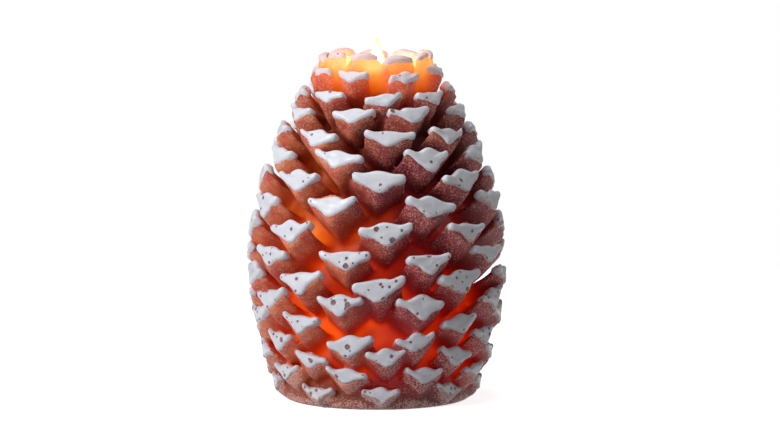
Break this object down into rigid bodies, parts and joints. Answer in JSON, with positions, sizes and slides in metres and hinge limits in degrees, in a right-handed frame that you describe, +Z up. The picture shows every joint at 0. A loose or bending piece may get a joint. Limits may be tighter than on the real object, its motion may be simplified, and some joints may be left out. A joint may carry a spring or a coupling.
{
  "type": "flameless pillar candle",
  "caption": "Flameless pine-cone candle: a wax shell of snow-tipped scales round a swinging lit flame, with its battery base inside the foot.",
  "frame": {"origin": "centre of the foot, on the surface that the candle stands on", "axes": "+Z up, -Y towards the front, +X to the right for someone facing the front"},
  "size_m": [0.1075, 0.1082, 0.1495],
  "materials": {
    "wax": "cast wax, sugary and translucent",
    "snow": "thick white wax with small bubble pits",
    "flame_film": "translucent film",
    "nickel": "plated",
    "steel": "drawn wire",
    "ivory_plastic": "moulded",
    "flame_lens": "clear lens",
    "screw": "plated",
    "bobbin": "moulded",
    "copper_wire": "enamelled windings",
    "iron": "turned",
    "circuit_board": "solder mask",
    "chip": "moulded",
    "capacitor_can": "sleeved can",
    "resistor_body": "dipped",
    "glow_lens": "tinted lens",
    "red_insulation": "insulation",
    "black_insulation": "insulation",
    "base_plastic": "fine spark texture",
    "cell_sleeve": "printed sleeve without any print",
    "contact_plate": "nickelled spring steel",
    "switch_can": "stamped",
    "switch_black": "moulded"
  },
  "bodies": {
    "candle": {"wax_body": "wax", "wax_scales": "wax", "snow_coat": "snow", "pivot_wire": "steel", "flame_deck": "ivory_plastic", "light_holder": "ivory_plastic", "flame_light": "flame_lens", "tower_left": "ivory_plastic", "tower_right": "ivory_plastic", "tower_screw_lower": "screw", "tower_screw_upper": "screw", "coil_bobbin": "bobbin", "coil_winding": "copper_wire", "coil_core": "iron", "driver_board": "circuit_board", "driver_chip": "chip", "capacitor": "capacitor_can", "resistor_lower": "resistor_body", "resistor_upper": "resistor_body", "light_board": "circuit_board", "glow_light_1": "glow_lens", "glow_light_2": "glow_lens", "glow_light_3": "glow_lens", "glow_light_4": "glow_lens", "lead_red": "red_insulation", "lead_black": "black_insulation", "base_housing": "base_plastic", "base_screw_1": "screw", "base_screw_2": "screw", "base_screw_3": "screw", "base_screw_4": "screw", "battery_front": "cell_sleeve", "battery_back": "cell_sleeve", "spring_contact": "contact_plate", "button_contact": "contact_plate", "link_contact": "contact_plate", "front_spring": "contact_plate", "back_spring": "contact_plate", "switch_frame": "switch_can"},
    "flame": {"flame_paddle": "flame_film", "flame_magnet": "nickel"},
    "cover": {"battery_cover": "base_plastic"},
    "switch": {"switch_slider": "switch_black"}
  },
  "joints": [
    {"name": "flame_swing", "type": "hinge", "parent": "candle", "child": "flame", "pos_m": [0, 0, 0.1215], "axis": [0, 1, 0], "range_deg": [-9, 9]},
    {"name": "battery_cover_hinge", "type": "hinge", "parent": "candle", "child": "cover", "pos_m": [-0.0284, 0, 0.0035], "axis": [0, 1, 0], "range_deg": [0, 75]},
    {"name": "switch_slide", "type": "slide", "parent": "candle", "child": "switch", "axis": [1, 0, 0], "range_m": [-0.004, 0]}
  ]
}
